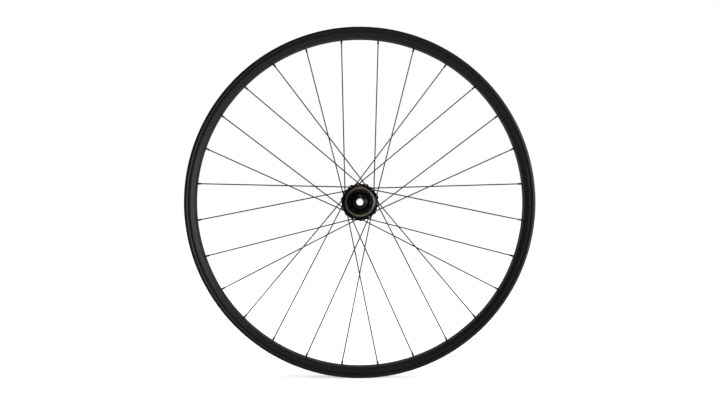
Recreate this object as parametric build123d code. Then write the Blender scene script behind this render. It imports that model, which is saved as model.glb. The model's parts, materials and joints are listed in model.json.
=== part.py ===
from build123d import *
import math
import os

# Rear bicycle wheel, 27.5 inch, with 28 spokes laced two-cross to a 12 x 148 mm disc brake hub.
# It stands upright: X forward, Y to the bicycle's left, which is the disc side, and Z up.
# The origin is the wheel's centre, where the axle's axis meets the rim's middle plane.
# Each piece is drawn about a Z axis with the drive side at positive Z, and upright() lays it over.
# Lengths are millimetres and angles are degrees.

# Rim
bead_seat_radius = 292.0
inner_width = 30.0
lip_height = 6.4
lip_thickness = 2.0
lip_lean = 0.5
lip_rounding = 0.65
rim_depth = 17.3
bed_width = 25.6
side_rounding = 12.0
shoulder_drop = 4.3
shoulder_inset = 0.4
shoulder_rounding = 0.8
groove_drop = 1.0
groove_depth = 1.5
groove_rounding = 1.0
crest_rise = 2.4
crest_rounding = 1.2
shelf_width = 5.0
seat_rounding = 0.7
well_depth = 3.8
well_width = 13.0
well_rounding = 1.2
side_wall = 1.1
spoke_bed_wall = 1.8
tyre_bed_wall = 1.0
chamber_side_rounding = 8.0
chamber_rounding = 0.5
valve_hole_radius = 3.25
valve_angle = 90.0
access_hole_radius = 4.3

# Lacing
spoke_count = 28
crossings = 2
first_hole_angle = 180.0 / spoke_count
hole_stagger = 2.0
crossing_gap = 0.2
crossing_bend_radius = 40.0

# Spokes and nipples
spoke_radius = 1.0
elbow_radius = 2.2
elbow_gap = 0.9
spoke_head_radius = 1.9
spoke_head_height = 1.1
spoke_head_rounding = 0.8
spoke_end_reach = 1.0
thread_clearance = 0.02
nipple_length = 12.0
nipple_head_radius = 3.0
nipple_head_height = 2.4
nipple_barrel_radius = 1.95
nipple_barrel_length = 4.0
nipple_flats = 3.3
nipple_corner = 0.5
nipple_clearance = 0.2
nipple_slot_width = 1.0
nipple_slot_depth = 0.9

# Hub shell
hub_width = 148.0
drive_flange_offset = 22.5
disc_flange_offset = 35.0
drive_hole_circle = 59.5
disc_hole_circle = 58.5
flange_thickness = 3.0
flange_edge = 2.7
flange_chamfer = 0.5
scallop_depth = 1.9
scallop_radius = 4.5
spoke_hole_radius = 1.3
drive_root_radius = 21.9
drive_root_width = 2.5
drive_root_rounding = 4.0
disc_root_radius = 19.6
barrel_radius = 16.6
barrel_start = -23.0
barrel_end = 8.0
barrel_rounding = 6.0
edge_rounding = 0.3
shell_bore_radius = 14.4
bearing_land_radius = 12.2
bearing_land_width = 2.5

# Brake disc mount
rotor_face = 55.2
rotor_boss_radius = 28.0
rotor_boss_thickness = 7.5
rotor_boss_rounding = 1.5
rotor_neck_radius = 20.8
rotor_neck_rounding = 2.0
rotor_pilot_radius = 17.45
rotor_pilot_length = 3.0
rotor_bolt_circle = 44.0
rotor_bolt_count = 6
rotor_bolt_hole_radius = 2.1
rotor_scallop_radius = 9.0
rotor_scallop_depth = 5.5

# Mouth of the hub shell
mouth_height = 32.6
mouth_radius = 25.5
mouth_rounding = 0.8
dust_ring_radius = 24.7
dust_ring_opening = 21.55
dust_ring_depth = 2.4
dust_ring_proud = 1.3
dust_ring_rounding = 1.4
lip_seal_thickness = 1.6
lip_seal_gap = 0.2

# Axle and bearings
axle_bore_radius = 6.1
axle_radius = 7.5
axle_shoulder_radius = 9.2
axle_end_inset = 4.0
sleeve_radius = 8.6
fit_clearance = 0.01
hub_bearing_radius = 14.0
hub_bearing_width = 7.0
disc_bearing_inner_face = 49.0
drive_bearing_inner_face = 12.0
inner_freehub_bearing_radius = 13.0
inner_freehub_bearing_width = 7.0
inner_freehub_bearing_face = 37.0
outer_freehub_bearing_radius = 12.0
outer_freehub_bearing_width = 5.0
outer_freehub_bearing_face = 55.5
race_clearance = 0.03
ball_share = 0.29
ball_filling = 0.8
race_land_share = 0.6
bearing_seal_thickness = 0.5
bearing_seal_gap = 0.1

# Ratchet
ratchet_radius = 15.0
ratchet_opening = 11.5
ratchet_thickness = 4.9
ratchet_tooth_count = 36
ratchet_tooth_depth = 1.2
ratchet_tooth_gap = 0.2
ratchet_spline_count = 20
ratchet_spline_height = 0.7
ratchet_spline_width = 2.0
ratchet_spline_clearance = 0.2
ring_nut_radius = 19.2
ring_nut_floor = 0.3
ratchet_meeting = 28.0
spring_wire_radius = 0.45
spring_radius = 12.4
spring_turns = 2.5

# Freehub body
freehub_end = 69.6
freehub_shoulder = 34.9
freehub_shoulder_radius = 19.9
freehub_shoulder_thickness = 1.7
freehub_skirt_radius = 18.6
freehub_tip_radius = 17.4
freehub_root_radius = 16.1
freehub_spline_count = 9
freehub_groove_width = 4.8
freehub_key_groove_width = 3.6
freehub_recess_radius = 14.75
freehub_recess_depth = 7.6
freehub_web_radius = 10.6
freehub_end_chamfer = 0.8

# End caps
cap_radius = 9.5
cap_face_radius = 8.3
cap_nose_length = 3.8
cap_nose_rounding = 1.5
cap_flange_thickness = 1.6
cap_flange_rounding = 0.5
cap_flange_gap = 0.8
cap_stand_off = 0.5

# Worked out from the values above
rim_outer_radius = bead_seat_radius + lip_height
spoke_bed_radius = rim_outer_radius - rim_depth
nipple_seat_radius = spoke_bed_radius + spoke_bed_wall
half_inner_width = inner_width / 2
half_width = half_inner_width + lip_thickness
shoulder_radius = bead_seat_radius - shoulder_drop
well_radius = bead_seat_radius - well_depth
hole_pitch = 360.0 / spoke_count
flange_pitch = 2 * hole_pitch
elbow_reach = flange_thickness / 2 + elbow_gap + spoke_radius
cap_end = hub_width / 2
axle_end = cap_end - axle_end_inset
drive_bearing_outer_face = drive_bearing_inner_face + hub_bearing_width
disc_bearing_outer_face = disc_bearing_inner_face + hub_bearing_width
inner_freehub_bearing_end = inner_freehub_bearing_face + inner_freehub_bearing_width
outer_freehub_bearing_end = outer_freehub_bearing_face + outer_freehub_bearing_width
ratchet_cavity_floor = drive_bearing_outer_face + ring_nut_floor
spline_bore_radius = ratchet_radius + ratchet_spline_clearance
hub_ratchet_tip = ratchet_meeting - ratchet_tooth_gap / 2
freehub_ratchet_tip = ratchet_meeting + ratchet_tooth_gap / 2
ring_nut_end = ratchet_meeting - ratchet_spline_clearance
freehub_skirt_end = ratchet_meeting + ratchet_spline_clearance
dust_ring_seat = mouth_height - dust_ring_depth


def polar(radius, angle, height):
    """Point at a radius and an angle about the axle, at a height along it."""
    turn = math.radians(angle)
    return Vector(radius * math.cos(turn), radius * math.sin(turn), height)


def turned(*corners):
    """Solid turned about the axle from corners of (radius, height, rounding)."""
    points = [(radius, height) for radius, height, rounding in corners]
    roundings = [rounding for radius, height, rounding in corners]
    outline = FilletPolyline(*points, radius=roundings, close=True)
    return revolve(Plane.XZ * make_face(outline), Axis.Z)


def ring(inner_radius, outer_radius, bottom, top):
    """Plain ring between two heights."""
    corners = [(inner_radius, bottom), (outer_radius, bottom), (outer_radius, top), (inner_radius, top)]
    return turned(*[(radius, height, 0) for radius, height in corners])


def around(shape, count, start=0.0):
    """Copies of a shape, evenly spaced about the axle."""
    return [Rot(0, 0, start + index * 360.0 / count) * shape for index in range(count)]


def group(pieces):
    """Separate solids kept together as one shape."""
    return Part() + pieces


def upright(shape):
    """Lay the Z axle over, so that the drive side faces negative Y."""
    return Rot(90, 0, 0) * shape


# Lacing

class Spoke:
    """Route of one spoke, from its head at the hub to its seat in the rim."""

    def __init__(self, index):
        drive = index % 2 == 1
        turn = 1 if index % 4 in (0, 3) else -1
        self.side = 1 if drive else -1
        self.lean = -1 if turn == 1 else 1
        self.rim_angle = first_hole_angle + index * hole_pitch
        self.hub_angle = self.rim_angle + turn * crossings * flange_pitch
        self.flange = drive_flange_offset if drive else disc_flange_offset
        self.hole_radius = (drive_hole_circle if drive else disc_hole_circle) / 2
        self.crossing_angle = self.hub_angle - turn * (crossings - 0.5) * flange_pitch
        self.name = ("drive" if drive else "disc") + ("_leading" if turn == 1 else "_trailing")

    def at_hub(self, outward):
        """Point on the axis of the hub hole, outward of the flange's middle."""
        return polar(self.hole_radius, self.hub_angle, self.side * (self.flange + outward))

    def head(self):
        return self.at_hub(-self.lean * flange_thickness / 2)

    def elbow(self):
        return self.at_hub(self.lean * elbow_reach)

    def seat(self):
        return polar(nipple_seat_radius, self.rim_angle, self.side * hole_stagger)

    def crossing(self):
        """Outer crossing, where the spoke passes on the other side of its partner."""
        start = self.at_hub(0)
        run = self.seat() - start
        ray = polar(1, self.crossing_angle, 0)
        share = -start.cross(ray).Z / run.cross(ray).Z
        weave = -self.side * self.lean * (spoke_radius + crossing_gap / 2)
        return start + run * share + Vector(0, 0, weave)

    def direction(self):
        return (self.seat() - self.crossing()).normalized()

    def seat_plane(self):
        """Plane of the nipple's seat, with the spoke's direction as its normal."""
        out = self.direction()
        axle = Vector(0, 0, 1)
        return Plane(self.seat(), x_dir=axle - out * out.dot(axle), z_dir=out)


spokes = [Spoke(index) for index in range(spoke_count)]


def spoke_solid(spoke):
    """Bent wire with a domed head, swept along straight runs and arcs."""
    head = spoke.head()
    end = spoke.seat() + spoke.direction() * spoke_end_reach
    path = FilletPolyline(
        head, spoke.elbow(), spoke.crossing(), end, radius=[elbow_radius, crossing_bend_radius]
    )
    outward = spoke.side * spoke.lean
    runs = [sweep(Plane(run @ 0, z_dir=run % 0) * Circle(spoke_radius), path=run) for run in path.edges()]
    dome = turned(
        (0, 0, 0),
        (spoke_head_radius, 0, 0),
        (spoke_head_radius, spoke_head_height, spoke_head_rounding),
        (0, spoke_head_height, 0),
    )
    return Plane(head, z_dir=(0, 0, -outward)) * dome + runs


def nipple_solid():
    """Nipple standing on its seat at zero height, with its head above and its flats below."""
    tail = nipple_length - nipple_head_height
    head = turned(
        (0, 0, 0),
        (nipple_head_radius, 0, 0),
        (nipple_head_radius, nipple_head_height, nipple_head_height / 2),
        (0, nipple_head_height, 0),
    )
    barrel = Pos(0, 0, -nipple_barrel_length / 2) * Cylinder(nipple_barrel_radius, nipple_barrel_length)
    flats = extrude(RectangleRounded(nipple_flats, nipple_flats, nipple_corner), -tail)
    bore = Cylinder(spoke_radius + thread_clearance, 2 * nipple_length)
    slot = Box(2 * nipple_head_radius, nipple_slot_width, 2 * nipple_slot_depth)
    return head + barrel + flats - bore - Pos(0, 0, nipple_head_height) * slot


# Rim

def rim_half_outline():
    """Corners of (radius, height, rounding) from the spoke bed round the drive side to the well."""
    return [
        (spoke_bed_radius, bed_width / 2, side_rounding),
        (shoulder_radius, half_width - shoulder_inset, shoulder_rounding),
        (bead_seat_radius - groove_drop, half_width - groove_depth, groove_rounding),
        (bead_seat_radius + crest_rise, half_width, crest_rounding),
        (rim_outer_radius, half_width - lip_lean, lip_rounding),
        (rim_outer_radius, half_inner_width - lip_lean / 2, lip_rounding),
        (bead_seat_radius, half_inner_width, seat_rounding),
        (bead_seat_radius, half_inner_width - shelf_width, seat_rounding),
        (well_radius, well_width / 2, well_rounding),
    ]


def chamber_half_outline():
    """Corners of the hollow between the spoke bed and the tyre bed, on the drive side."""
    slope = (half_width - shoulder_inset - bed_width / 2) / (shoulder_radius - spoke_bed_radius)
    inset = side_wall * math.hypot(1, slope)

    def inner_face(radius):
        return bed_width / 2 + (radius - spoke_bed_radius) * slope - inset

    roof = bead_seat_radius - tyre_bed_wall
    web = tyre_bed_wall / 3
    return [
        (nipple_seat_radius, inner_face(nipple_seat_radius), chamber_side_rounding),
        (shoulder_radius, inner_face(shoulder_radius), chamber_rounding),
        (roof, half_width - groove_depth - side_wall, chamber_rounding),
        (roof, half_inner_width - shelf_width + web, chamber_rounding),
        (well_radius - tyre_bed_wall, well_width / 2 + web, well_rounding),
    ]


def both_sides(half):
    """Whole outline from its drive side half."""
    return half + [(radius, -height, rounding) for radius, height, rounding in reversed(half)]


def rim_solid():
    """Hollow hoop with a stepped hole for each nipple and a plain one for the valve."""
    hoop = turned(*both_sides(rim_half_outline())) - turned(*both_sides(chamber_half_outline()))
    chamber_height = well_radius - tyre_bed_wall - nipple_seat_radius
    past_tyre = rim_depth
    drill = turned(
        (0, -2 * spoke_bed_wall, 0),
        (nipple_barrel_radius + nipple_clearance, -2 * spoke_bed_wall, 0),
        (nipple_barrel_radius + nipple_clearance, 0, 0),
        (nipple_head_radius + nipple_clearance, 0, 0),
        (nipple_head_radius + nipple_clearance, chamber_height / 2, 0),
        (access_hole_radius, chamber_height / 2, 0),
        (access_hole_radius, past_tyre, 0),
        (0, past_tyre, 0),
    )
    valve_plane = Plane(polar(spoke_bed_radius, valve_angle, 0), z_dir=polar(1, valve_angle, 0))
    valve_drill = valve_plane * Cylinder(valve_hole_radius, 2 * rim_depth)
    return hoop - [spoke.seat_plane() * drill for spoke in spokes] - valve_drill


# Hub shell

def hub_blank():
    """Turned outline of the shell with its bearing seats, flanges, disc boss and mouth."""
    drive_edge = drive_hole_circle / 2 + flange_edge
    disc_edge = disc_hole_circle / 2 + flange_edge
    half_flange = flange_thickness / 2
    drive_out = drive_flange_offset + half_flange
    drive_in = drive_flange_offset - half_flange
    disc_out = -disc_flange_offset - half_flange
    disc_in = -disc_flange_offset + half_flange
    boss_back = -rotor_face + rotor_boss_thickness
    pilot_end = -rotor_face - rotor_pilot_length
    return turned(
        (hub_bearing_radius, pilot_end, 0),
        (rotor_pilot_radius, pilot_end, edge_rounding),
        (rotor_pilot_radius, -rotor_face, 0),
        (rotor_boss_radius, -rotor_face, edge_rounding),
        (rotor_boss_radius, boss_back, rotor_boss_rounding),
        (rotor_neck_radius, boss_back, rotor_neck_rounding),
        (disc_root_radius, disc_out, 0),
        (disc_edge, disc_out, flange_chamfer),
        (disc_edge, disc_in, flange_chamfer),
        (disc_root_radius, disc_in, 0),
        (barrel_radius, barrel_start, barrel_rounding),
        (barrel_radius, barrel_end, barrel_rounding),
        (drive_root_radius, drive_in - drive_root_width, drive_root_rounding),
        (drive_root_radius, drive_in, 0),
        (drive_edge, drive_in, flange_chamfer),
        (drive_edge, drive_out, flange_chamfer),
        (mouth_radius, drive_out, mouth_rounding),
        (mouth_radius, mouth_height, edge_rounding),
        (dust_ring_radius, mouth_height, 0),
        (dust_ring_radius, dust_ring_seat, 0),
        (ring_nut_radius, dust_ring_seat, 0),
        (ring_nut_radius, ratchet_cavity_floor, 0),
        (hub_bearing_radius, ratchet_cavity_floor, 0),
        (hub_bearing_radius, drive_bearing_inner_face, 0),
        (bearing_land_radius, drive_bearing_inner_face, 0),
        (bearing_land_radius, drive_bearing_inner_face - bearing_land_width, 0),
        (shell_bore_radius, drive_bearing_inner_face - bearing_land_width, 0),
        (shell_bore_radius, bearing_land_width - disc_bearing_inner_face, 0),
        (bearing_land_radius, bearing_land_width - disc_bearing_inner_face, 0),
        (bearing_land_radius, -disc_bearing_inner_face, 0),
        (hub_bearing_radius, -disc_bearing_inner_face, 0),
    )


def flange_scallops(offset, hole_circle, first_hole):
    """Cutters for the shallow hollows in a flange's edge, one between each two holes."""
    middle = hole_circle / 2 + flange_edge - scallop_depth + scallop_radius
    cutter = Pos(middle, 0, offset) * Cylinder(scallop_radius, 2 * flange_thickness)
    return around(cutter, spoke_count // 2, first_hole + flange_pitch / 2)


def hub_shell_solid():
    shell = hub_blank()
    drive_first = next(spoke.hub_angle for spoke in spokes if spoke.side == 1)
    disc_first = next(spoke.hub_angle for spoke in spokes if spoke.side == -1)
    shell -= flange_scallops(drive_flange_offset, drive_hole_circle, drive_first)
    shell -= flange_scallops(-disc_flange_offset, disc_hole_circle, disc_first)
    hole = Cylinder(spoke_hole_radius, 2 * flange_thickness)
    shell -= [Pos(*spoke.at_hub(0)) * hole for spoke in spokes]
    boss_middle = rotor_boss_thickness / 2 - rotor_face
    bolt_drill = Pos(rotor_bolt_circle / 2, 0, boss_middle)
    bolt_drill *= Cylinder(rotor_bolt_hole_radius, 2 * rotor_boss_thickness)
    shell -= around(bolt_drill, rotor_bolt_count)
    hollow = rotor_boss_radius - rotor_scallop_depth + rotor_scallop_radius
    through_boss = rotor_boss_thickness + 2 * flange_chamfer
    boss_cutter = Pos(hollow, 0, boss_middle) * Cylinder(rotor_scallop_radius, through_boss)
    return shell - around(boss_cutter, rotor_bolt_count, 180.0 / rotor_bolt_count)


def dust_ring_solid():
    """Rounded ring pressed into the mouth of the shell."""
    top = mouth_height + dust_ring_proud
    outer_radius = dust_ring_radius - fit_clearance
    return turned(
        (dust_ring_opening, dust_ring_seat, 0),
        (outer_radius, dust_ring_seat, 0),
        (outer_radius, top, dust_ring_rounding),
        (dust_ring_opening, top, dust_ring_rounding),
    )


def lip_seal_solid():
    """Rubber ring held in the dust ring, with its lip just off the freehub's skirt."""
    lip = freehub_skirt_radius + lip_seal_gap
    outer_radius = dust_ring_opening - fit_clearance
    return ring(lip, outer_radius, dust_ring_seat, dust_ring_seat + lip_seal_thickness)


# Axle, sleeves and end caps

def axle_solid():
    return turned(
        (axle_bore_radius, -axle_end, 0),
        (axle_radius, -axle_end, edge_rounding),
        (axle_radius, -disc_bearing_inner_face, 0),
        (axle_shoulder_radius, -disc_bearing_inner_face, edge_rounding),
        (axle_shoulder_radius, drive_bearing_inner_face, edge_rounding),
        (axle_radius, drive_bearing_inner_face, 0),
        (axle_radius, axle_end, edge_rounding),
        (axle_bore_radius, axle_end, 0),
    )


def sleeve_solid(bottom, top):
    """Spacer between two inner rings on the axle."""
    return ring(axle_radius + fit_clearance, sleeve_radius, bottom, top)


def end_cap_solid(bearing_face, flange_floor, flange_radius):
    """Cap from a bearing's inner ring to the end of the hub, with the outer end at positive height."""
    socket = axle_radius + fit_clearance
    flange_top = flange_floor + cap_flange_thickness
    nose = cap_end - cap_nose_length
    return turned(
        (socket, bearing_face, 0),
        (sleeve_radius, bearing_face, 0),
        (sleeve_radius, flange_floor, 0),
        (flange_radius, flange_floor, edge_rounding),
        (flange_radius, flange_top, cap_flange_rounding),
        (cap_radius, nose, cap_nose_rounding),
        (cap_radius, cap_end - (cap_radius - cap_face_radius), edge_rounding),
        (cap_face_radius, cap_end, edge_rounding),
        (axle_bore_radius, cap_end, 0),
        (axle_bore_radius, axle_end, 0),
        (socket, axle_end, 0),
    )


def drive_end_cap_solid():
    floor = freehub_end - freehub_recess_depth + cap_stand_off
    return end_cap_solid(outer_freehub_bearing_end, floor, freehub_recess_radius - cap_flange_gap)


def disc_end_cap_solid():
    floor = disc_bearing_outer_face + cap_stand_off
    return Rot(180, 0, 0) * end_cap_solid(disc_bearing_outer_face, floor, hub_bearing_radius - cap_flange_gap)


# Ball bearings

def bearing(name, outer_radius, width, bottom):
    """Inner ring, outer ring, balls and seals of one cartridge bearing on the axle."""
    bore = axle_radius + fit_clearance
    rim = outer_radius - fit_clearance
    pitch_radius = (axle_radius + outer_radius) / 2
    ball_radius = ball_share * (outer_radius - axle_radius)
    ball_count = math.floor(ball_filling * math.pi * pitch_radius / ball_radius)
    inner_land = pitch_radius - race_land_share * ball_radius
    outer_land = pitch_radius + race_land_share * ball_radius
    middle = bottom + width / 2
    groove = revolve(Plane.XZ * Pos(pitch_radius, middle) * Circle(ball_radius + race_clearance), Axis.Z)
    seal = ring(inner_land + bearing_seal_gap, outer_land - fit_clearance, 0, bearing_seal_thickness)
    ball = Pos(pitch_radius, 0, middle) * Sphere(ball_radius)
    seals = [Pos(0, 0, bottom) * seal, Pos(0, 0, bottom + width - bearing_seal_thickness) * seal]
    return {
        name + "_inner_ring": ring(bore, inner_land, bottom, bottom + width) - groove,
        name + "_outer_ring": ring(outer_land, rim, bottom, bottom + width) - groove,
        name + "_balls": group(around(ball, ball_count)),
        name + "_seals": group(seals),
    }


# Ratchet

def spline_section(radius, height, width):
    """Disc with the ratchet's splines standing out from it."""
    tooth = Pos(radius + height / 2 - radius / 4, 0) * Rectangle(height + radius / 2, width)
    return Circle(radius) + around(tooth, ratchet_spline_count)


def spline_bore(bottom, top):
    """Cutter for a splined bore that a ratchet slides in."""
    clearance = ratchet_spline_clearance
    section = spline_section(spline_bore_radius, ratchet_spline_height, ratchet_spline_width + 2 * clearance)
    return Pos(0, 0, bottom) * extrude(section, top - bottom)


def ratchet_solid():
    """Ratchet ring with its back at zero height and saw teeth on top."""
    section = spline_section(ratchet_radius, ratchet_spline_height, ratchet_spline_width)
    body = extrude(section - Circle(ratchet_opening), ratchet_thickness)
    tooth_angle = math.radians(360.0 / ratchet_tooth_count)

    def gap_section(radius):
        base = ratchet_thickness - ratchet_tooth_depth
        corners = [(0, base), (0, ratchet_thickness), (radius * tooth_angle, ratchet_thickness)]
        outline = Polyline(*corners, close=True)
        return Plane((radius, 0, 0), x_dir=(0, 1, 0), z_dir=(1, 0, 0)) * make_face(outline)

    far_radius = ratchet_radius + 2 * ratchet_spline_height
    near_radius = ratchet_opening - ratchet_spline_height
    gap = loft([gap_section(near_radius), gap_section(far_radius)], ruled=True)
    return body - around(gap, ratchet_tooth_count)


def hub_ratchet_solid():
    return Pos(0, 0, hub_ratchet_tip - ratchet_thickness) * ratchet_solid()


def freehub_ratchet_solid():
    return Pos(0, 0, freehub_ratchet_tip + ratchet_thickness) * Rot(180, 0, 0) * ratchet_solid()


def ring_nut_solid():
    """Ring screwed into the shell, splined inside for the hub's ratchet."""
    body = Cylinder(ring_nut_radius - fit_clearance, ring_nut_end - ratchet_cavity_floor)
    body = Pos(0, 0, (ring_nut_end + ratchet_cavity_floor) / 2) * body
    return body - spline_bore(ratchet_cavity_floor, ring_nut_end)


def spring_solid(bottom, top):
    """Coil spring behind a ratchet, between two heights."""
    height = top - bottom - 2 * spring_wire_radius
    coil = Helix(height / spring_turns, height, spring_radius, center=(0, 0, bottom + spring_wire_radius))
    wire = Plane(coil @ 0, z_dir=coil % 0) * Circle(spring_wire_radius)
    return sweep(wire, path=coil, is_frenet=True)


# Freehub body

def freehub_solid():
    """Splined drum for the cassette, with two bearing seats and the ratchet's splined bore inside."""
    tip_section = Circle(freehub_tip_radius)
    reach = 2 * (freehub_tip_radius - freehub_root_radius)
    for index in range(freehub_spline_count):
        width = freehub_key_groove_width if index == 0 else freehub_groove_width
        groove = Pos(freehub_root_radius + reach / 2, 0) * Rectangle(reach, width)
        tip_section -= Rot(0, 0, valve_angle + index * 360.0 / freehub_spline_count) * groove
    drum = Pos(0, 0, freehub_shoulder) * extrude(tip_section, freehub_end - freehub_shoulder)
    drum &= turned(
        (0, freehub_shoulder, 0),
        (freehub_shoulder_radius, freehub_shoulder, 0),
        (freehub_tip_radius, freehub_end - freehub_end_chamfer, 0),
        (freehub_tip_radius - freehub_end_chamfer, freehub_end, 0),
        (0, freehub_end, 0),
    )
    shoulder_back = freehub_shoulder - freehub_shoulder_thickness
    drum += ring(0, freehub_shoulder_radius, shoulder_back, freehub_shoulder)
    drum += ring(0, freehub_skirt_radius, freehub_skirt_end, shoulder_back)
    recess_floor = freehub_end - freehub_recess_depth
    ratchet_back = freehub_ratchet_tip + ratchet_thickness
    bore = turned(
        (0, freehub_skirt_end, 0),
        (inner_freehub_bearing_radius, freehub_skirt_end, 0),
        (inner_freehub_bearing_radius, inner_freehub_bearing_end, 0),
        (freehub_web_radius, inner_freehub_bearing_end, 0),
        (freehub_web_radius, outer_freehub_bearing_face, 0),
        (outer_freehub_bearing_radius, outer_freehub_bearing_face, 0),
        (outer_freehub_bearing_radius, recess_floor, 0),
        (freehub_recess_radius, recess_floor, 0),
        (freehub_recess_radius, freehub_end, 0),
        (0, freehub_end, 0),
    )
    return drum - bore - spline_bore(freehub_skirt_end, ratchet_back)


# All nodes

nodes = {
    "rim": rim_solid(),
    "hub_shell": hub_shell_solid(),
    "dust_ring": dust_ring_solid(),
    "lip_seal": lip_seal_solid(),
    "axle": axle_solid(),
    "ratchet_spacer": sleeve_solid(drive_bearing_outer_face, inner_freehub_bearing_face),
    "freehub_spacer": sleeve_solid(inner_freehub_bearing_end, outer_freehub_bearing_face),
    "drive_end_cap": drive_end_cap_solid(),
    "disc_end_cap": disc_end_cap_solid(),
    "ring_nut": ring_nut_solid(),
    "hub_ratchet": hub_ratchet_solid(),
    "freehub_ratchet": freehub_ratchet_solid(),
    "hub_ratchet_spring": spring_solid(ratchet_cavity_floor, hub_ratchet_tip - ratchet_thickness),
    "freehub_ratchet_spring": spring_solid(
        freehub_ratchet_tip + ratchet_thickness, inner_freehub_bearing_face
    ),
    "freehub_body": freehub_solid(),
}
nodes |= bearing("disc_hub_bearing", hub_bearing_radius, hub_bearing_width, -disc_bearing_outer_face)
nodes |= bearing("drive_hub_bearing", hub_bearing_radius, hub_bearing_width, drive_bearing_inner_face)
nodes |= bearing(
    "inner_freehub_bearing",
    inner_freehub_bearing_radius,
    inner_freehub_bearing_width,
    inner_freehub_bearing_face,
)
nodes |= bearing(
    "outer_freehub_bearing",
    outer_freehub_bearing_radius,
    outer_freehub_bearing_width,
    outer_freehub_bearing_face,
)
nipple = nipple_solid()
nodes["nipples"] = group([spoke.seat_plane() * nipple for spoke in spokes])
for number, spoke in enumerate(spokes):
    nodes[f"{spoke.name}_spoke_{number // 4 + 1}"] = spoke_solid(spoke)

os.makedirs("parts", exist_ok=True)
for name, shape in nodes.items():
    export_step(upright(shape), f"parts/{name}.step")
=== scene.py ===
import json
import math

import bmesh
import bpy
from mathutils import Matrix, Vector


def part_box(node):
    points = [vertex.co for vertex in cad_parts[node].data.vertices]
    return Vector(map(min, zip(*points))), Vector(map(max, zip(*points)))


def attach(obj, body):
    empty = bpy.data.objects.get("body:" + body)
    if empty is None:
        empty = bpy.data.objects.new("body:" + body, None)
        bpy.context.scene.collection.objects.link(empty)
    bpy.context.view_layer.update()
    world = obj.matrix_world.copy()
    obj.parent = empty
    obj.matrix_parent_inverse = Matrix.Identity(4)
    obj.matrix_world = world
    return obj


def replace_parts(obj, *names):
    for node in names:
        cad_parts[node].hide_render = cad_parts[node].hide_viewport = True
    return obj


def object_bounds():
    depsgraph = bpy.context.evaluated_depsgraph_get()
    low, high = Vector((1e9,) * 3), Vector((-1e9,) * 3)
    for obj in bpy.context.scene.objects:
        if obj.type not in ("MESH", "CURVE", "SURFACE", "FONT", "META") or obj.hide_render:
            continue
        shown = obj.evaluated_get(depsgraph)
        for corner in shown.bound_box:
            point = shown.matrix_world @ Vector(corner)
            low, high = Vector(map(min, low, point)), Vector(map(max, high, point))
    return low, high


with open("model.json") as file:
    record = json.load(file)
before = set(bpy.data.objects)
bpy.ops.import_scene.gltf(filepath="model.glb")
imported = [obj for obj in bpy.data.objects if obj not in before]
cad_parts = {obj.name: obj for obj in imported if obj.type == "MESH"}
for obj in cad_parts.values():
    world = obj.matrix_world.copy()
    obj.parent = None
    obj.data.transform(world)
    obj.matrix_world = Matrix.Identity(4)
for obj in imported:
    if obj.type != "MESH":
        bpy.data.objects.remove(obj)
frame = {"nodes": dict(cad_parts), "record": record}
cad_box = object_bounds()
scene = bpy.context.scene


# Camera on the drive side, a little to the left of the axle and below it

image_width = 720
metres_per_pixel = 0.0017138
sensor_width = 36.0
rim_plane_distance = 1.6
camera_x = -0.0074
camera_z = -0.0179
aim = Vector((0.0003, 0.0, -0.0006))

camera = bpy.data.cameras.new("camera")
camera.sensor_width = sensor_width
camera.lens = sensor_width * rim_plane_distance / (image_width * metres_per_pixel)
camera_holder = bpy.data.objects.new("camera", camera)
camera_holder.location = (camera_x, -rim_plane_distance, camera_z)
camera_holder.rotation_euler = (aim - camera_holder.location).to_track_quat("-Z", "Y").to_euler()
scene.collection.objects.link(camera_holder)
scene.camera = camera_holder
scene.view_settings.view_transform = "Standard"


# Node helpers

def feed(tree, socket, value):
    """Links a node's input to the value where that is a socket, and sets it to the value where it isn't."""
    if isinstance(value, bpy.types.NodeSocket):
        tree.links.new(value, socket)
    else:
        socket.default_value = value


def node(tree, kind, settings=None, **inputs):
    """Adds a shader node with these settings, and feeds its inputs by their names."""
    made = tree.nodes.new("ShaderNode" + kind)
    for name, value in (settings or {}).items():
        setattr(made, name, value)
    for name, value in inputs.items():
        feed(tree, made.inputs[name.replace("_", " ")], value)
    return made


def maths(tree, operation, *values, clamp=False):
    """Adds a Math node on numbers and sockets, and gives its result."""
    made = node(tree, "Math", {"operation": operation, "use_clamp": clamp})
    for socket, value in zip(made.inputs, values):
        feed(tree, socket, value)
    return made.outputs[0]


def ramp(tree, value, start, end, low=0.0, high=1.0, smooth=False):
    """A number that goes from low to high as the value goes from start to end, and is level elsewhere."""
    settings = {"interpolation_type": "SMOOTHSTEP" if smooth else "LINEAR"}
    return node(
        tree, "MapRange", settings, Value=value, From_Min=start, From_Max=end, To_Min=low, To_Max=high
    ).outputs[0]


def length(tree, first, second):
    """The length of the hypotenuse over two sides."""
    squares = maths(
        tree, "ADD", maths(tree, "MULTIPLY", first, first), maths(tree, "MULTIPLY", second, second)
    )
    return maths(tree, "SQRT", squares)


def tint(tree, factor, dark, light):
    """A colour between two, by the factor."""
    colours = tree.nodes.new("ShaderNodeValToRGB")
    colours.color_ramp.elements[0].color = (*dark, 1)
    colours.color_ramp.elements[1].color = (*light, 1)
    tree.links.new(factor, colours.inputs[0])
    return colours.outputs[0]


def place(tree):
    """The point on the surface, in metres from the wheel's middle."""
    return node(tree, "TexCoord").outputs["Object"]


def about_axle(tree):
    """The point on the surface as its distance from the axle, its angle about it and its place along it."""
    x, y, z = node(tree, "SeparateXYZ", Vector=place(tree)).outputs
    return length(tree, x, z), maths(tree, "ARCTAN2", z, x), y


# Patterns of the surfaces, with their sizes in metres

fine_grain_size = 0.0004
fine_grain_detail = 3.0
cloud_size = 0.03
cloud_detail = 2.0
grain_roughness = 0.55
die_pitch = 0.0006
lathe_pitch = 0.00025
turning_drift = 0.0004
turning_detail = 3.0
turning_roughness = 0.6


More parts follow.
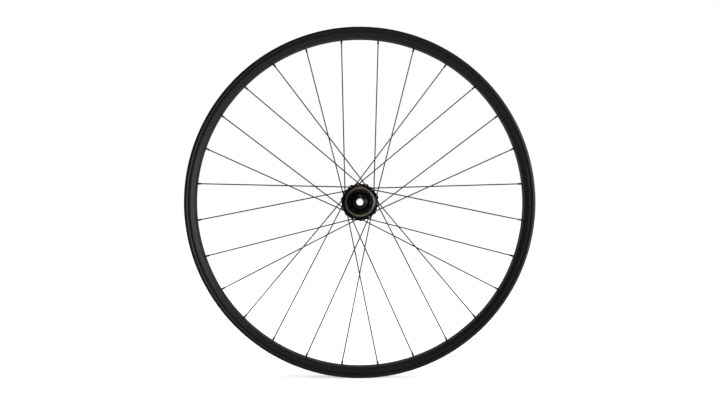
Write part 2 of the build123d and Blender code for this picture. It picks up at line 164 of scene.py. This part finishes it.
def grain(tree, size, detail):
    """Even noise with features about that size."""
    noise = node(
        tree, "TexNoise", Vector=place(tree), Scale=1 / size, Detail=detail, Roughness=grain_roughness
    )
    return noise.outputs["Fac"]


def turning(tree, pitch):
    """Noise drawn out round the axle, as a lathe or an extruding die leaves it."""
    radius, angle, along = about_axle(tree)
    across = node(
        tree,
        "CombineXYZ",
        X=maths(tree, "DIVIDE", radius, pitch),
        Y=maths(tree, "DIVIDE", along, pitch),
        Z=maths(tree, "MULTIPLY", maths(tree, "ABSOLUTE", angle), turning_drift / pitch),
    ).outputs[0]
    noise = node(
        tree, "TexNoise", Vector=across, Scale=1.0, Detail=turning_detail, Roughness=turning_roughness
    )
    return noise.outputs["Fac"]


def fine_grain(tree):
    """The fine tooth of a surface that isn't polished."""
    return grain(tree, fine_grain_size, fine_grain_detail)


def cloud(tree):
    """Broad soft patches, as handling leaves them."""
    return grain(tree, cloud_size, cloud_detail)


def die_lines(tree):
    """The lines that the die leaves along an extruded rim."""
    return turning(tree, die_pitch)


def lathe_lines(tree):
    """The lines that a cutting tool leaves on a turned piece."""
    return turning(tree, lathe_pitch)


def blend(first, second, share):
    """A tone that mixes two others, the first by its share."""
    def mixed(tree):
        part = maths(tree, "MULTIPLY", first(tree), share)
        rest = maths(tree, "MULTIPLY", second(tree), 1 - share)
        return maths(tree, "ADD", part, rest)
    return mixed


# Places that turn a lighter grey or are left matt: faces along Y, and radii from the axle

drive_flange_face = -0.0240
disc_flange_face = 0.0365
head_edge = 0.0006
head_circle = 0.0330

matt_roughness = 0.95
bed_matt_from = 0.2813
bed_matt_to = 0.2807
crease_matt_from = 0.2899
crease_matt_to = 0.2902
crease_end = 0.2916


def spoke_heads(tree):
    """1 on the heads and elbows that stand proud of the hub's two flanges, and 0 elsewhere."""
    radius, _, along = about_axle(tree)
    drive = ramp(tree, along, drive_flange_face, drive_flange_face - head_edge)
    disc = ramp(tree, along, disc_flange_face, disc_flange_face + head_edge)
    near_hub = maths(tree, "LESS_THAN", radius, head_circle)
    return maths(tree, "MULTIPLY", maths(tree, "ADD", drive, disc), near_hub)


def bed_and_crease(tree):
    """The roughness of the rim's bed and of the crease under its lip, and 0 elsewhere."""
    radius, _, _ = about_axle(tree)
    bed = ramp(tree, radius, bed_matt_from, bed_matt_to, high=matt_roughness)
    crease = ramp(tree, radius, crease_matt_from, crease_matt_to, high=matt_roughness)
    below_lip = maths(tree, "LESS_THAN", radius, crease_end)
    return maths(tree, "ADD", bed, maths(tree, "MULTIPLY", crease, below_lip))


# Materials, one for each slot of the record

# A plain lighter grey, used on the spoke heads and elbows that stand proud of the flanges
lighter_grey = (0.085, 0.085, 0.086)


def finish_of(name, dark, light, rough, bumps, tone, metallic=0.0, specular=0.5, lightened_where=None, matt=None):
    """A material whose colour and roughness follow the tone, and whose relief is the sum of the bumps.

    Each bump is a pattern and its depth in metres. Where a mask of lighter places is given, the colour there
    turns to a plain lighter grey. Where matt is given, it is the least roughness at each place.
    """
    material = bpy.data.materials.new(name)
    material.use_nodes = True
    tree = material.node_tree
    shader = tree.nodes["Principled BSDF"]
    shader.inputs["Metallic"].default_value = metallic
    shader.inputs["Specular IOR Level"].default_value = specular
    factor = tone(tree)
    colour = tint(tree, factor, dark, light)
    if lightened_where is not None:
        # The colour turns to the lighter grey where the mask is 1
        lightened_colour = node(tree, "MixRGB", Fac=lightened_where(tree), Color1=colour, Color2=(*lighter_grey, 1))
        colour = lightened_colour.outputs[0]
    tree.links.new(colour, shader.inputs["Base Color"])
    roughness = ramp(tree, factor, 0.0, 1.0, *rough)
    if matt is not None:
        roughness = maths(tree, "MAXIMUM", roughness, matt(tree))
    tree.links.new(roughness, shader.inputs["Roughness"])
    relief = None
    for height, depth in bumps:
        bump = node(tree, "Bump", Height=height(tree), Distance=depth, Strength=1.0)
        if relief is not None:
            tree.links.new(relief, bump.inputs["Normal"])
        relief = bump.outputs[0]
    tree.links.new(relief, shader.inputs["Normal"])
    return material


materials = {
    "rim_black": finish_of(
        "rim_black",
        dark=(0.0024, 0.0022, 0.0021),
        light=(0.0046, 0.0043, 0.0041),
        rough=(0.34, 0.46),
        bumps=[(fine_grain, 0.000012), (die_lines, 0.000006)],
        tone=blend(cloud, die_lines, 0.6),
        specular=0.15,
        matt=bed_and_crease,
    ),
    "hub_black": finish_of(
        "hub_black",
        dark=(0.0008, 0.0008, 0.0009),
        light=(0.0020, 0.0020, 0.0021),
        rough=(0.28, 0.4),
        bumps=[(lathe_lines, 0.000006), (fine_grain, 0.000004)],
        tone=blend(lathe_lines, cloud, 0.6),
        specular=0.09,
    ),
    "ring_champagne": finish_of(
        "ring_champagne",
        dark=(0.112, 0.101, 0.082),
        light=(0.140, 0.126, 0.103),
        rough=(0.46, 0.54),
        bumps=[(lathe_lines, 0.0000004)],
        tone=blend(lathe_lines, cloud, 0.5),
        metallic=1.0,
    ),
    "freehub_black": finish_of(
        "freehub_black",
        dark=(0.0008, 0.0008, 0.0009),
        light=(0.0020, 0.0019, 0.0019),
        rough=(0.26, 0.38),
        bumps=[(fine_grain, 0.000008), (lathe_lines, 0.000004)],
        tone=blend(fine_grain, cloud, 0.5),
        specular=0.05,
    ),
    "cap_black": finish_of(
        "cap_black",
        dark=(0.0008, 0.0008, 0.0008),
        light=(0.0019, 0.0019, 0.0020),
        rough=(0.3, 0.4),
        bumps=[(lathe_lines, 0.000006)],
        tone=blend(lathe_lines, cloud, 0.6),
        specular=0.09,
    ),
    "axle_metal": finish_of(
        "axle_metal",
        dark=(0.30, 0.30, 0.31),
        light=(0.46, 0.46, 0.47),
        rough=(0.28, 0.42),
        bumps=[(lathe_lines, 0.000005)],
        tone=lathe_lines,
        metallic=1.0,
    ),
    "ratchet_steel": finish_of(
        "ratchet_steel",
        dark=(0.28, 0.27, 0.26),
        light=(0.42, 0.41, 0.40),
        rough=(0.3, 0.45),
        bumps=[(fine_grain, 0.000005)],
        tone=blend(fine_grain, cloud, 0.5),
        metallic=1.0,
    ),
    "spring_steel": finish_of(
        "spring_steel",
        dark=(0.34, 0.33, 0.32),
        light=(0.50, 0.49, 0.48),
        rough=(0.25, 0.38),
        bumps=[(fine_grain, 0.000003)],
        tone=fine_grain,
        metallic=1.0,
    ),
    "seal_rubber": finish_of(
        "seal_rubber",
        dark=(0.006, 0.006, 0.006),
        light=(0.013, 0.013, 0.013),
        rough=(0.55, 0.75),
        bumps=[(fine_grain, 0.00002)],
        tone=blend(fine_grain, cloud, 0.5),
        specular=0.35,
    ),
    "bearing_steel": finish_of(
        "bearing_steel",
        dark=(0.52, 0.52, 0.53),
        light=(0.64, 0.64, 0.65),
        rough=(0.12, 0.24),
        bumps=[(lathe_lines, 0.000002)],
        tone=lathe_lines,
        metallic=1.0,
    ),
    "spoke_steel": finish_of(
        "spoke_steel",
        dark=(0.004, 0.0037, 0.0034),
        light=(0.009, 0.0082, 0.0074),
        rough=(0.34, 0.48),
        bumps=[(fine_grain, 0.000004)],
        tone=blend(fine_grain, cloud, 0.5),
        specular=0.2,
        # Lighter grey on the spoke heads and elbows that stand proud of the flanges
        lightened_where=spoke_heads,
    ),
    "nipple_black": finish_of(
        "nipple_black",
        dark=(0.004, 0.004, 0.004),
        light=(0.009, 0.0088, 0.0086),
        rough=(0.26, 0.4),
        bumps=[(fine_grain, 0.000005)],
        tone=blend(fine_grain, cloud, 0.5),
    ),
}

for subpart in frame["record"]["subparts"]:
    mesh = frame["nodes"][subpart["node"]].data
    mesh.materials.clear()
    mesh.materials.append(materials[subpart["material_slot"]])


# Turned forms: radii are from the axle, and half widths from the rim's middle plane

hub_steps = 160
rim_steps = 480
edge_bevel = 0.0003
bevel_steps = 3
bevel_from_angle = math.radians(20)


def lathe(name, outline, body, slot, steps):
    """A closed ring turned about the axle from corners of (radius, place along Y), with its edges eased."""
    shape = bmesh.new()
    corners = [shape.verts.new((radius, along, 0)) for radius, along in outline]
    edges = [shape.edges.new((corners[i - 1], corners[i])) for i in range(len(corners))]
    bmesh.ops.spin(
        shape, geom=corners + edges, cent=(0, 0, 0), axis=(0, 1, 0), angle=2 * math.pi, steps=steps,
        use_merge=True, use_duplicate=False,
    )
    bmesh.ops.recalc_face_normals(shape, faces=shape.faces)
    for face in shape.faces:
        face.smooth = True
    mesh = bpy.data.meshes.new(name)
    shape.to_mesh(mesh)
    shape.free()
    piece = bpy.data.objects.new(name, mesh)
    scene.collection.objects.link(piece)
    bevel = piece.modifiers.new("eased_edges", "BEVEL")
    bevel.width = edge_bevel
    bevel.segments = bevel_steps
    bevel.limit_method = "ANGLE"
    bevel.angle_limit = bevel_from_angle
    bevel.harden_normals = True
    mesh.materials.append(materials[slot])
    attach(piece, body)
    return piece


# The drive side end cap with its wide cone; depths are from its outer face

cap_bore = 0.0061
cap_socket = 0.00751
cap_sleeve = 0.0086
cap_nose = 0.0095
cap_face = 0.0083
cone_top_depth = 0.0032
axle_stop_depth = 0.0040
cone_foot_depth = 0.0065
flange_back_depth = 0.0115

cap_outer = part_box("drive_end_cap")[0][1]
cap_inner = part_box("drive_end_cap")[1][1]
cap_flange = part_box("drive_end_cap")[1][0]
axle_stop = cap_outer + axle_stop_depth
flange_back = cap_outer + flange_back_depth
cap_outline = [
    (cap_socket, cap_inner),
    (cap_sleeve, cap_inner),
    (cap_sleeve, flange_back),
    (cap_flange, flange_back),
    (cap_flange, cap_outer + cone_foot_depth),
    (cap_nose, cap_outer + cone_top_depth),
    (cap_nose, cap_outer + cap_nose - cap_face),
    (cap_face, cap_outer),
    (cap_bore, cap_outer),
    (cap_bore, axle_stop),
    (cap_socket, axle_stop),
]
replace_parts(lathe("drive_cap_cone", cap_outline, "axle", "cap_black", hub_steps), "drive_end_cap")


# The flare from the hub's mouth out to its drive flange

mouth_radius = 0.0255
flare_radius = 0.0278
flare_top = -0.0260

flare_outline = [
    (mouth_radius, flare_top),
    (flare_radius, drive_flange_face),
    (mouth_radius, drive_flange_face),
]
lathe("mouth_flare", flare_outline, "wheel", "hub_black", hub_steps)


# The rim's inner bed with the foot of its side walls; its back lies inside the solid rim's wall

bed_radius = 0.2804
bed_half_width = 0.0111
bed_edge_radius = 0.2809
bed_edge_half_width = 0.01194
bed_side_radius = 0.2872
bed_side_half_width = 0.01635
bed_back = [(0.2869, 0.0156), (0.2841, 0.0129), (0.2822, 0.0093)]

bed_half_outline = [
    (bed_radius, bed_half_width),
    (bed_edge_radius, bed_edge_half_width),
    (bed_side_radius, bed_side_half_width),
    *bed_back,
]
bed_outline = bed_half_outline + [(radius, -along) for radius, along in reversed(bed_half_outline)]
lathe("rim_bed", bed_outline, "wheel", "rim_black", rim_steps)


# The shoulder of each side wall, from the bed's sides to the crease under the lip

shoulder_radius = 0.2899
shoulder_half_width = 0.0169
shoulder_step_radius = 0.2905
shoulder_step_half_width = 0.0155
shoulder_back_radius = 0.2878

for side, way in (("drive", -1), ("disc", 1)):
    shoulder_outline = [
        (bed_side_radius, way * bed_side_half_width),
        (shoulder_radius, way * shoulder_half_width),
        (shoulder_step_radius, way * shoulder_step_half_width),
        (shoulder_back_radius, way * shoulder_step_half_width),
    ]
    lathe("rim_shoulder_" + side, shoulder_outline, "wheel", "rim_black", rim_steps)


# World, white behind the wheel and dimmer in front of it

white = (1, 1, 1, 1)
backdrop_from = 0.0
backdrop_full = 0.7
front_level = 0.3
ambient_level = 0.35


def seen_directly(tree):
    """1 for what the camera, a reflection or a clear material sees, and 0 for light on the object."""
    rays = node(tree, "LightPath").outputs
    mirrored = maths(tree, "ADD", rays["Is Glossy Ray"], rays["Is Transmission Ray"])
    return maths(tree, "ADD", rays["Is Camera Ray"], mirrored, clamp=True)


world = bpy.data.worlds.new("studio")
world.use_nodes = True
scene.world = world
sky = world.node_tree
sky.nodes.clear()
direction = node(sky, "TexCoord").outputs["Generated"]
backwards = node(sky, "SeparateXYZ", Vector=direction).outputs["Y"]
backdrop_level = ramp(sky, backwards, backdrop_from, backdrop_full, low=front_level, smooth=True)
ambient = node(sky, "Background", Color=white, Strength=ambient_level)
backdrop = node(sky, "Background", Color=white, Strength=backdrop_level)
mixed_sky = node(sky, "MixShader", Fac=seen_directly(sky))
sky.links.new(ambient.outputs[0], mixed_sky.inputs[1])
sky.links.new(backdrop.outputs[0], mixed_sky.inputs[2])
sky_output = sky.nodes.new("ShaderNodeOutputWorld")
sky.links.new(mixed_sky.outputs[0], sky_output.inputs[0])


# Paper floor, with a glow that makes up for the lamps' fading with distance and is weak in front of the wheel

floor_half = 40.0
floor_gap = 0.0002
paper_colour = (0.55, 0.55, 0.55, 1)
paper_roughness = 0.9
paper_specular = 0.1
lamps_near = 0.3
lamps_far = 2.5
near_glow = 0.6
far_glow = 0.9
dim_from = -1.6
dim_to = -0.2
dim_share = 0.12

floor_level = cad_box[0][2] - floor_gap
floor_corners = [
    (x * floor_half, y * floor_half, floor_level) for x, y in ((-1, -1), (1, -1), (1, 1), (-1, 1))
]
floor_mesh = bpy.data.meshes.new("floor")
floor_mesh.from_pydata(floor_corners, [], [(0, 1, 2, 3)])
floor = bpy.data.objects.new("floor", floor_mesh)
scene.collection.objects.link(floor)

paper = bpy.data.materials.new("floor_paper")
paper.use_nodes = True
paper_tree = paper.node_tree
paper_shader = paper_tree.nodes["Principled BSDF"]
paper_shader.inputs["Base Color"].default_value = paper_colour
paper_shader.inputs["Roughness"].default_value = paper_roughness
paper_shader.inputs["Specular IOR Level"].default_value = paper_specular
paper_shader.inputs["Emission Color"].default_value = white
floor_x, floor_y, _ = node(paper_tree, "SeparateXYZ", Vector=place(paper_tree)).outputs
floor_reach = length(paper_tree, floor_x, floor_y)
lamps_fade = ramp(paper_tree, floor_reach, lamps_near, lamps_far, low=near_glow, high=far_glow, smooth=True)
dim_front = ramp(paper_tree, floor_y, dim_from, dim_to, low=dim_share, smooth=True)
floor_glow = maths(paper_tree, "MULTIPLY", lamps_fade, dim_front)
seen_glow = maths(paper_tree, "MULTIPLY", floor_glow, seen_directly(paper_tree))
paper_tree.links.new(seen_glow, paper_shader.inputs["Emission Strength"])
floor_mesh.materials.append(paper)


# Soft lamps

warm_white = (1.0, 0.93, 0.86)
cool_white = (0.88, 0.94, 1.0)


def softbox(name, spot, width, height, watts, colour):
    """A rectangular lamp that faces the wheel's middle and isn't seen by the camera."""
    lamp = bpy.data.lights.new(name, "AREA")
    lamp.shape = "RECTANGLE"
    lamp.size = width
    lamp.size_y = height
    lamp.energy = watts
    lamp.color = colour
    holder = bpy.data.objects.new(name, lamp)
    holder.location = spot
    holder.rotation_euler = (-Vector(spot)).to_track_quat("-Z", "Y").to_euler()
    holder.visible_camera = False
    scene.collection.objects.link(holder)


softbox("key_right", spot=(1.34, -1.49, 0.1), width=1.0, height=1.3, watts=50, colour=warm_white)
softbox("side_right", spot=(1.985, -0.2, 0.05), width=0.9, height=1.0, watts=45, colour=cool_white)
softbox("fill_top", spot=(0.1, -0.15, 1.9), width=0.9, height=0.5, watts=20, colour=warm_white)
softbox("back_left", spot=(-0.9, 1.7, 0.9), width=1.0, height=1.3, watts=25, colour=warm_white)
